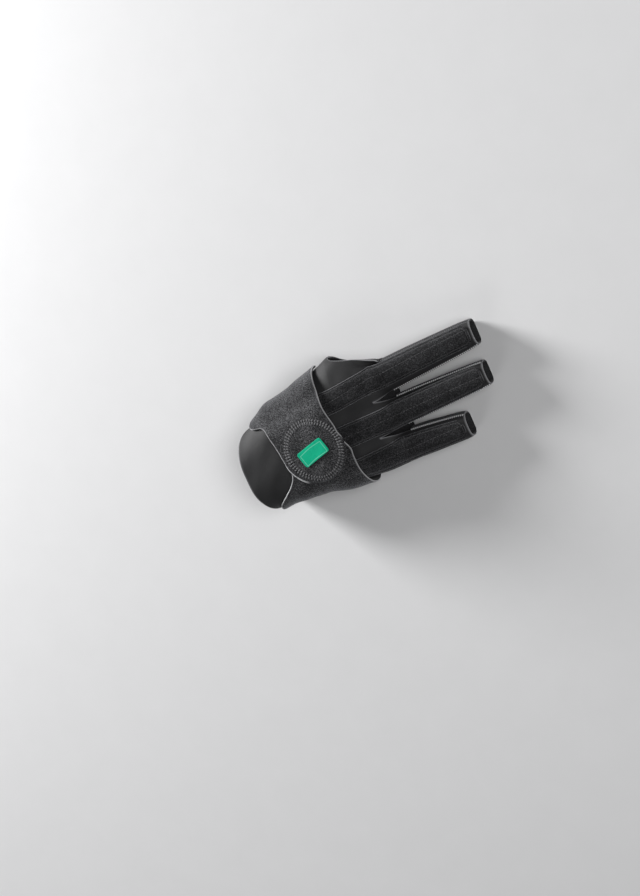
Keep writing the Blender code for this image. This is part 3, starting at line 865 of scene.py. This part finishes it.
channel = {
    "width": 17.0 * mm,
    "start": -5.0 * mm,
    "setback": 2.2 * mm,
    "corner": 5.0 * mm,
    "seamInset": 1.7 * mm,
    "seamPress": 0.28 * mm,
    "seamWidth": 0.5 * mm,
    "linePress": 0.16 * mm,
    "lineWidth": 0.45 * mm,
    "lineEnd": 8.0 * mm,
    "crown": 0.35 * mm,
    "crownEdge": 3.0 * mm,
}


def channelLine(sleeve, x):
    off = sleeve["shift"] * sleeve["width"]
    along = (x - hand["webReach"]) / (sleeve["reach"] - hand["webReach"])
    onFinger = mixed(sleeve["root"], sleeve["tip"], along) + off
    onHand = mixed(sleeve["line"], sleeve["root"] + off, eased(x / hand["webReach"]))
    return np.where(x >= hand["webReach"], onFinger, onHand)


def shareAt(sleeve, x, y):
    low, high = np.zeros_like(x), np.ones_like(x)
    for _ in range(26):
        middle = (low + high) / 2
        inward = tinePoint(sleeve, x, middle)[..., 1] > y
        low, high = np.where(inward, middle, low), np.where(inward, high, middle)
    return (low + high) / 2


def channelEdges(sleeve, x):
    # y of the channel's thumb side and outer side, with the corners at its end rounded
    turn = sleeve["reach"] - channel["setback"] - channel["corner"]
    past = np.clip((x - turn) / channel["corner"], 0, 1)
    corner = channel["corner"] * (1 - np.sqrt(1 - past**2))
    centre, half = channelLine(sleeve, x), channel["width"] / 2
    left = np.minimum(centre + half, tinePoint(sleeve, x, 0 * x)[..., 1] - sleeve["margin"])
    right = np.maximum(centre - half, tinePoint(sleeve, x, 0 * x + 1)[..., 1] + sleeve["margin"])
    return left - corner, right + corner


def stayLine(sleeve, x):
    # y of the seam along the middle of the channel, which holds the stay
    left, right = channelEdges(sleeve, np.minimum(x, sleeve["reach"] - channel["lineEnd"]))
    onFinger = np.clip((x - hand["webReach"]) / (sleeve["reach"] - hand["webReach"]), 0, 1)
    drift = mixed(*sleeve["drift"], onFinger) * eased(x / hand["webReach"])
    return (left + right) / 2 + drift


def onChannel(sleeve, x, y, lift):
    share, lift = shareAt(sleeve, x, y), cloth["layerGap"] + lift
    return lifted(partial(tinePoint, sleeve), x, share, lift, hand["shareStep"])


def layChannel(sleeve):
    step = 0.55 * mm
    wall = cloth["channel"]
    end = sleeve["reach"] - channel["setback"]
    turn = end - channel["corner"]
    length = turn - channel["start"]
    straight = channel["start"] + rimmedSteps(length, step)[:-4] * length
    around = turn + channel["corner"] * np.sin(np.radians(np.linspace(0, 89.3, 20)))
    along = np.concatenate([straight, around])
    shares = rimmedSteps(channel["width"], step)

    def place(columns, rows, depth):
        left, right = channelEdges(sleeve, rows)
        y = mixed(left, right, columns)
        inset = np.minimum(left - y, y - right)
        inset = np.minimum(inset, end - rows)
        seam = np.exp(-(((inset - channel["seamInset"]) / channel["seamWidth"]) ** 2))
        line = np.exp(-(((y - stayLine(sleeve, rows)) / channel["lineWidth"]) ** 2))
        crown = channel["crown"] * np.sqrt(np.clip(1 - np.abs(2 * columns - 1) ** 3, 0, 1))
        press = channel["seamPress"] * seam + channel["linePress"] * line
        press = press - crown * eased(inset / channel["crownEdge"])
        top = 1 - depth / wall
        return onChannel(sleeve, rows, y, wall - depth - press * top)

    def cut(columns, rows, reach):
        left, right = channelEdges(sleeve, rows)
        y = mixed(left, right, columns)
        past = np.abs(y - (left + right) / 2) - (channel["width"] / 2 - channel["corner"])
        turnIn = np.hypot(np.maximum(rows - turn, 0), np.maximum(past, 0))
        atEnd = np.minimum(np.maximum(channel["corner"] - turnIn, 0), end - rows)
        sides = np.minimum(reach["left"], reach["right"])
        return np.minimum(np.where(rows > turn, atEnd, sides), reach["start"])

    piece = layCloth(sleeve["name"] + "Channel", shares, along, place, wall, cut)
    thicken(piece, wall, (channelVelour, darkEdge, darkEdge))
    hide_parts("stay_channel_" + sleeve["name"])
    return piece


wrap = {
    "back": 64.0 * mm,
    "front": 11.0 * mm,
    "edges": (  # degrees, back, front
        (84, 0.60, 0.00),
        (96, 0.60, 0.45),
        (107, 0.63, 0.78),
        (115, 0.66, 0.73),
        (124, 0.73, 0.70),
        (134, 0.83, 0.70),
        (152, 0.98, 0.80),
        (180, 1.00, 1.00),
        (215, 0.93, 1.05),
        (270, 0.86, 1.10),
        (298, 0.87, 0.75),
        (318, 0.91, -0.10),
        (336, 0.94, -1.60),
        (360, 0.96, -2.60),
    ),
    "rideUp": 22.0 * mm,
    "rideTop": math.radians(50),
    "rideSide": (math.radians(205), math.radians(25)),
    "run": 68.0 * mm,
}


def overChannels(x, angle):
    # how far the closure's layers ride up over the channels that run in under them
    rise = eased((x - channel["start"]) / wrap["rideUp"] + 1)
    last, fade = wrap["rideSide"]
    sides = eased((last - angle) / fade) * eased(angle / wrap["rideTop"])
    return (cloth["channel"] + cloth["layerGap"]) * rise * sides


def wrapEdges(angle):
    degrees = np.degrees(angle)
    back = -wrap["back"] * follow(wrap["edges"], 1, degrees)
    return back, wrap["front"] * follow(wrap["edges"], 2, degrees)


def layWrap():
    step = 0.8 * mm
    wall = cloth["wrap"]
    angles = anglesBetween(
        -20 * mm, math.radians(wrap["edges"][0][0]), 2 * math.pi - hand["flatSeam"], step
    )
    shares = rimmedSteps(wrap["run"], step)

    def place(columns, rows, depth):
        x = mixed(*wrapEdges(columns), rows)
        lift = cloth["layerGap"] + overChannels(x, columns) + wall
        point = lifted(handPoint, x, columns, lift - depth)
        point[..., 2] = np.maximum(point[..., 2], depth)
        return point

    def cut(columns, rows, reach):
        hole = thumbHoleDistance(place(columns, rows, 0 * rows), thumb["wrapClear"])
        return np.minimum(nearestSide(columns, rows, reach), hole)

    piece = layCloth("handWrap", angles, shares, place, wall, cut)
    cutThumbHole(piece, thumb["wrapClear"])
    thicken(piece, wall, (velour, cutFoam, lining))
    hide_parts("hand_wrap")
    return piece


strap = {
    "waist": 45.4 * mm,
    "front": 2.0 * mm,
    "edges": (  # degrees, back, front
        (0, 1.30, 1.00),
        (11, 1.30, 0.95),
        (28, 1.31, 0.90),
        (40, 1.245, 0.90),
        (50, 1.105, 0.95),
        (60, 1.02, 1.05),
        (75, 0.955, 1.45),
        (89, 0.905, 2.70),
    ),
    "tabRadius": 23.8 * mm,
    "tabX": -16.5 * mm,
    "tabY": -14.0 * mm,
    "climbFrom": math.radians(52),
    "climb": math.radians(22),
    "run": 54.0 * mm,
    "shadeFrom": -132,  # degrees round the tab between which its rim has no pale line: painted shade on the tab's shaded side
    "shadeTo": 12,
}


def strapLift(x, angle):
    # the strap hugs the hand on the thumb side and rides over the wrap and the patch
    climb = eased((angle - strap["climbFrom"]) / strap["climb"])
    stack = cloth["wrap"] + cloth["patch"] + 3 * cloth["layerGap"]
    return mixed(2 * cloth["seamGap"], stack, climb) + overChannels(x, angle)


def strapEdges(angle):
    y = handPoint(np.full_like(angle, strap["tabX"]), angle)[..., 1]
    half = np.sqrt(np.maximum(strap["tabRadius"] ** 2 - (y - strap["tabY"]) ** 2, 0))
    last = math.radians(strap["edges"][-1][0])
    degrees = np.degrees(np.minimum(angle, last))
    tabAngle = angleAt(np.array(strap["tabX"]), np.array(strap["tabY"]))
    intoTab = eased((angle - last) / (tabAngle - last))
    edges = []
    for column, reach, side in ((1, -strap["waist"], -half), (2, strap["front"], half)):
        rim = strap["tabX"] + side
        edge = mixed(reach * follow(strap["edges"], column, degrees), rim, intoTab)
        edges.append(np.where(y <= strap["tabY"], rim, edge))
    return edges


def layStrap():
    step = 0.65 * mm
    wall = cloth["strap"]
    tabAngle = float(angleAt(np.array(strap["tabX"]), np.array(strap["tabY"])))
    toTab = anglesBetween(strap["tabX"], hand["flatSeam"], tabAngle, step)[:-4]
    turns = np.radians(np.concatenate([np.linspace(0, 80, 52), [82.5, 85, 87, 88.5]]))
    ends = strap["tabY"] - strap["tabRadius"] * np.sin(turns)
    angles = np.concatenate([toTab, angleAt(np.full_like(ends, strap["tabX"]), ends)])
    shares = rimmedSteps(strap["run"], step)

    def place(columns, rows, depth):
        x = mixed(*strapEdges(columns), rows)
        return lifted(handPoint, x, columns, wall + strapLift(x, columns) - depth)

    def fromTab(columns, rows):
        point = place(columns, rows, 0 * rows)
        return point[..., 0] - strap["tabX"], point[..., 1] - strap["tabY"]

    def cut(columns, rows, reach):
        toRim = strap["tabRadius"] - np.hypot(*fromTab(columns, rows))
        sides = np.minimum(reach["start"], reach["end"])
        nearest = np.where(columns >= tabAngle, np.minimum(sides, np.maximum(toRim, 0)), sides)
        return np.minimum(nearest, reach["left"])

    def edgeLineShadedRoundTab(columns, rows):
        # painted shade: the pale edge line fades round the tab's outer side, where the tab lies in
        # shade
        x, y = fromTab(columns, rows)
        way = np.degrees(np.arctan2(y, x))
        away = np.minimum(strap["shadeTo"] - way, way - strap["shadeFrom"])
        return 1 - eased(away / 12) * (y < 12 * mm)

    piece = layCloth("closureStrap", angles, shares, place, wall, cut, edgeLineShadedRoundTab)
    thicken(piece, wall, (velour, cutFoam, lining))
    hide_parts("closure_strap")
    return piece


def onTab(x, y, lift):
    angle = angleAt(x, y)
    return lifted(handPoint, x, angle, strapLift(x, angle) + cloth["strap"] + lift)


def layPatch():
    radius = 21.0 * mm  # a little smaller than the tab
    wall = cloth["patch"]
    turns = np.linspace(0, 2 * math.pi, 121)
    shares = np.concatenate([[0.02], np.linspace(0, 1, 26)[1:-1], [0.985, 1.0]])

    def place(columns, rows, depth):
        x = strap["tabX"] + radius * rows * np.cos(columns)
        y = strap["tabY"] + radius * rows * np.sin(columns)
        angle = angleAt(x, y)
        lift = wall + cloth["wrap"] + 2 * cloth["layerGap"] + overChannels(x, angle)
        return lifted(handPoint, x, angle, lift - depth)

    def cut(columns, rows, reach):
        return reach["end"]

    piece = layCloth("closurePatch", turns, shares, place, wall, cut, turned=True)
    editAll(piece, bpy.ops.mesh.remove_doubles, threshold=cloth["weld"])
    thicken(piece, wall, (hook, darkEdge, hook))
    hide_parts("closure_patch")
    return piece


def layLabel():
    wall = cloth["label"]

    def place(a, b, depth):
        halfA, halfB = label["length"] / 2, label["width"] / 2
        # the corners are rounded by drawing the ends in
        past = np.clip((np.abs(b) - (halfB - label["corner"])) / label["corner"], 0, 1)
        drawn = label["corner"] * (1 - np.sqrt(1 - past**2))
        a = a * (halfA - drawn) / halfA
        x = strap["tabX"] + a * math.cos(label["turn"]) - b * math.sin(label["turn"])
        y = strap["tabY"] + a * math.sin(label["turn"]) + b * math.cos(label["turn"])
        return onTab(x, y, cloth["seamGap"] + wall - depth)

    across = (rimmedSteps(label["length"], 0.4 * mm) - 0.5) * label["length"]
    along = (rimmedSteps(label["width"], 0.4 * mm) - 0.5) * label["width"]
    piece = layCloth("wovenLabel", across, along, place, wall, nearestSide)
    thicken(piece, wall, (green, green, green))
    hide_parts("woven_label")
    return piece


backPanel = layBackPanel()
palmPanel = layPalmPanel()
covers = [layCover(sleeve) for sleeve in sleeves]
channels = [layChannel(sleeve) for sleeve in sleeves]
handWrap = layWrap()
closureStrap = layStrap()
closurePatch = layPatch()
wovenLabel = layLabel()
print("cloth laid")


def threadStitch(length, thickness, dip, flatness):
    # one stitch of thread, its ends drawn down into the cloth
    bpy.ops.object.select_all(action="DESELECT")
    bpy.ops.mesh.primitive_uv_sphere_add(segments=6, ring_count=5, radius=1)
    stitch = bpy.context.object
    half = (thickness / 2 * flatness, thickness / 2, length / 2)
    editAll(stitch, bpy.ops.transform.resize, value=half)
    for vertex in stitch.data.vertices:
        x, y, z = vertex.co
        vertex.co = (z, y, x - dip * (2 * z / length) ** 2)
    editAll(stitch, bpy.ops.mesh.normals_make_consistent, inside=False)
    return stitch


def evenly(points, normals, pitch):
    # places at an even pitch along a line, with their directions
    run = np.concatenate([[0], np.cumsum(np.linalg.norm(np.diff(points, axis=0), axis=1))])
    count = max(int(round(run[-1] / pitch)), 2)
    at = (np.arange(count) + 0.5) * run[-1] / count

    def along(values, where):
        return np.stack([np.interp(where, run, values[:, k]) for k in range(3)], axis=1)

    place = along(points, at)
    normal = along(normals, at)
    normal /= np.linalg.norm(normal, axis=1, keepdims=True)
    way = along(points, at + 0.2 * mm) - along(points, at - 0.2 * mm)
    way -= normal * np.sum(way * normal, axis=1, keepdims=True)
    way /= np.linalg.norm(way, axis=1, keepdims=True)
    return place, way, normal


def sew(name, rows, look):
    # rows: lines of stitches, each with its points, normals and the stitch that repeats
    mesh = bmesh.new()
    for row in rows:
        stitch = threadStitch(
            row["length"], row["thickness"], row.get("dip", 0.25 * mm), row.get("flatness", 1.0)
        )
        places, ways, normals = evenly(row["points"], row["normals"], row["pitch"])
        for number, (place, way, normal) in enumerate(zip(places, ways, normals)):
            side = np.cross(normal, way)
            turn = math.radians(row["turn"])
            if row.get("zigzag") and number % 2:
                turn = -turn
            forward = way * math.cos(turn) + side * math.sin(turn)
            across = np.cross(normal, forward)
            spot = place + side * row.get("offset", 0.0) + normal * row.get("lift", 0.0)
            matrix = Matrix(
                [[forward[k], across[k], normal[k], spot[k]] for k in range(3)] + [[0, 0, 0, 1]]
            )
            start = len(mesh.verts)
            mesh.from_mesh(stitch.data)
            mesh.verts.ensure_lookup_table()
            bmesh.ops.transform(mesh, matrix=matrix, verts=mesh.verts[start:])
        bpy.data.objects.remove(stitch)
    data = bpy.data.meshes.new(name)
    mesh.to_mesh(data)
    mesh.free()
    piece = bpy.data.objects.new(name, data)
    bpy.context.collection.objects.link(piece)
    data.materials.append(look)
    data.shade_smooth()
    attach(piece, "root")
    return piece


def seamLine(point, steps=500):
    # points and normals of a seam: point(share, lift) gives a place above the cloth
    share = np.linspace(0, 1, steps)
    low, high = point(share, 0.0), point(share, 1 * mm)
    return {"points": low, "normals": (high - low) / mm}


def seamAt(surface, angle, low, high):
    # a seam that runs from low to high at one angle round a surface
    def point(share, lift):
        x = mixed(low, high, share)
        return lifted(surface, x, np.full_like(x, angle), lift)
    return seamLine(point)


tabSeam = {"radii": (20.9 * mm, 18.9 * mm), "centre": (-15.6 * mm, -12.5 * mm), "stitches": 60}


def sewTabRing():
    def ring(radius):
        def point(share, lift):
            turn = 2 * math.pi * share
            x = tabSeam["centre"][0] + radius * np.cos(turn)
            y = tabSeam["centre"][1] + radius * np.sin(turn)
            return onTab(x, y, lift)
        return seamLine(point)

    rows = []
    for radius in tabSeam["radii"]:
        rows.append({
            **ring(radius), "length": 2.2 * mm, "thickness": 0.95 * mm, "flatness": 0.5, "turn": 78,
            "pitch": 2 * math.pi * radius / tabSeam["stitches"], "lift": 0.02 * mm, "dip": 0.1 * mm,
        })
    return sew("tabRingStitches", rows, ringThread)


def channelOutline(sleeve, inset):
    # from the channel's start along its thumb side, round its end and back along its outer side
    channelEnd = sleeve["reach"] - channel["setback"]
    end, corner = channelEnd - inset, channel["corner"] - inset
    turn = end - corner
    straight = np.linspace(channel["start"] + 1 * mm, turn, 200)
    left, right = channelEdges(sleeve, np.minimum(straight, channelEnd - channel["corner"]))
    left, right = left - inset, right + inset
    bends = np.radians(np.linspace(5, 90, 18))
    leftBend = left[-1] - corner + corner * np.cos(bends)
    rightBend = right[-1] + corner - corner * np.cos(bends)
    over = turn + corner * np.sin(bends)
    crossing = np.linspace(leftBend[-1], rightBend[-1], 20)[1:-1]
    x = np.concatenate([straight, over, np.full(18, end), over[::-1], straight[::-1]])
    y = np.concatenate([left, leftBend, crossing, rightBend[::-1], right[::-1]])
    low = onChannel(sleeve, x, y, cloth["channel"])
    high = onChannel(sleeve, x, y, cloth["channel"] + 1 * mm)
    return {"points": low, "normals": (high - low) / mm}


def sewChannels():
    for sleeve in sleeves:
        row = {
            **channelOutline(sleeve, channel["seamInset"]), "length": 1.35 * mm,
            "thickness": 0.42 * mm, "turn": 52, "zigzag": True, "pitch": 0.95 * mm,
            "lift": -0.1 * mm,
        }
        sew(sleeve["name"] + "ChannelSeam", [row], greyThread)

        def point(share, lift, sleeve=sleeve):
            end = sleeve["reach"] - channel["setback"] - 0.6 * mm
            x = mixed(channel["start"] + 1 * mm, end, share)
            top = cloth["channel"] + channel["crown"]
            return onChannel(sleeve, x, stayLine(sleeve, x), top + lift)

        row = {
            **seamLine(point), "length": 2.5 * mm, "thickness": 0.28 * mm, "turn": 0,
            "pitch": 2.6 * mm, "lift": -0.1 * mm, "dip": 0.12 * mm,
        }
        sew(sleeve["name"] + "ChannelLine", [row], greyThread)


def sewSleeveSeams():
    for sleeve in sleeves:
        for side, angle in (("Thumb", hand["seamAngle"]), ("Outer", outerSeam(sleeve))):
            line = seamAt(
                partial(sleevePoint, sleeve), angle,
                hand["webReach"] + 1 * mm, sleeve["reach"] - 0.8 * mm,
            )
            row = {
                **line, "length": 2.1 * mm, "thickness": 0.85 * mm, "turn": 78,
                "pitch": 1.5 * mm, "lift": 0.1 * mm,
                "offset": sleeve["overlock"] if side == "Thumb" else 0.0,
            }
            # the seam beside the index finger is sewn with dark thread
            thread = darkThread if sleeve["order"] == 1 and side == "Thumb" else paleThread
            sew(sleeve["name"] + side + "Seam", [row], thread)


def sewSideSeams():
    for name, angle, low, high in (
        ("outerSideSeam", math.pi, -64 * mm, 47 * mm),
        ("cuffSideSeam", 0.0, -65 * mm, -41.5 * mm),
        ("webSideSeam", 0.0, 4.5 * mm, indexFront() - 0.5 * mm),
    ):
        row = {
            **seamAt(handPoint, angle, low, high), "length": 2.3 * mm, "thickness": 0.42 * mm,
            "turn": 68, "zigzag": True, "pitch": 0.9 * mm, "lift": 0.02 * mm,
        }
        sew(name, [row], darkThread)


sewTabRing()
sewChannels()
sewSleeveSeams()
sewSideSeams()
print("seams sewn")

for piece, flat, held, rests, share in (
    (backPanel, (0.135, 0.196), "stretched", ["palmPanel"], 0.80),
    (palmPanel, (0.125, 0.116), "stretched", ["backPanel"], 0.85),
    (handWrap, (0.080, 0.215), "stretched", ["palmPanel", "backPanel"], 0.8),
    (closureStrap, (0.070, 0.110), "laid", ["backPanel", "handWrap"], 0.75),
    (closurePatch, (0.042, 0.042), "laid", ["handWrap"], 0.785),
    (wovenLabel, (0.0113, 0.022), "laid", ["closureStrap"], 0.98),
):
    flat[0] * flat[1] * share
    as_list(rests)
for sleeve, cover, strip in zip(sleeves, covers, channels):
    sleeve["reach"] - hand["webReach"]
    length = sleeve["reach"] - channel["setback"] - channel["start"]
    0.98 * channel["width"] * length

studio = {
    "aim": Vector((0.02, 0.0, 0.02)),
    "distance": 1.0,
    "tilt": math.radians(20),
    "azimuth": math.radians(15),
    "roll": math.radians(22),
    "lens": 55.8,
    "shift": (-0.0443, -0.0445),
}


def addFloor():
    bpy.ops.object.select_all(action="DESELECT")
    bpy.ops.mesh.primitive_plane_add(size=6)
    floor = bpy.context.object
    floor.name = "floor"
    floor.data.materials.append(floorLook())


def addLight(name, away, size, power):
    bpy.ops.object.light_add(type="AREA", location=studio["aim"] + Vector(away))
    lamp = bpy.context.object
    lamp.name = name
    lamp.data.shape = "DISK"
    lamp.data.size = size
    lamp.data.energy = power
    lamp.rotation_euler = Vector(away).to_track_quat("Z", "Y").to_euler()


def addCamera():
    tilt, azimuth, roll = studio["tilt"], studio["azimuth"], studio["roll"]
    back = Vector((
        math.sin(tilt) * math.cos(azimuth), math.sin(tilt) * math.sin(azimuth), math.cos(tilt)
    ))
    level = Vector((1, 0, 0))
    level = (level - back * level.dot(back)).normalized()
    upright = back.cross(level)
    right = level * math.cos(roll) - upright * math.sin(roll)
    up = level * math.sin(roll) + upright * math.cos(roll)
    bpy.ops.object.camera_add()
    camera = bpy.context.object
    camera.name = "camera"
    turned = Matrix((right, up, back)).transposed()
    place = Matrix.Translation(studio["aim"] + back * studio["distance"])
    camera.matrix_world = place @ turned.to_4x4()
    camera.data.lens = studio["lens"]
    camera.data.sensor_width = 36
    camera.data.shift_x, camera.data.shift_y = studio["shift"]
    camera.data.clip_start = 0.01
    bpy.context.scene.camera = camera


addFloor()
addLight("keyLight", (-0.96, 0.96, 0.36), 0.5, 44)
addLight("fillLight", (0.80, 0.0, 1.15), 0.9, 11)
addLight("backLight", (-0.84, -0.84, 0.74), 0.6, 3)
addCamera()
world = bpy.data.worlds.new("softRoom")
world.use_nodes = True
air = world.node_tree.nodes["Background"].inputs
air["Color"].default_value = (0.9, 0.92, 0.95, 1)
air["Strength"].default_value = 0.06
bpy.context.scene.world = world
bpy.context.scene.view_settings.view_transform = "Standard"
print("studio set")
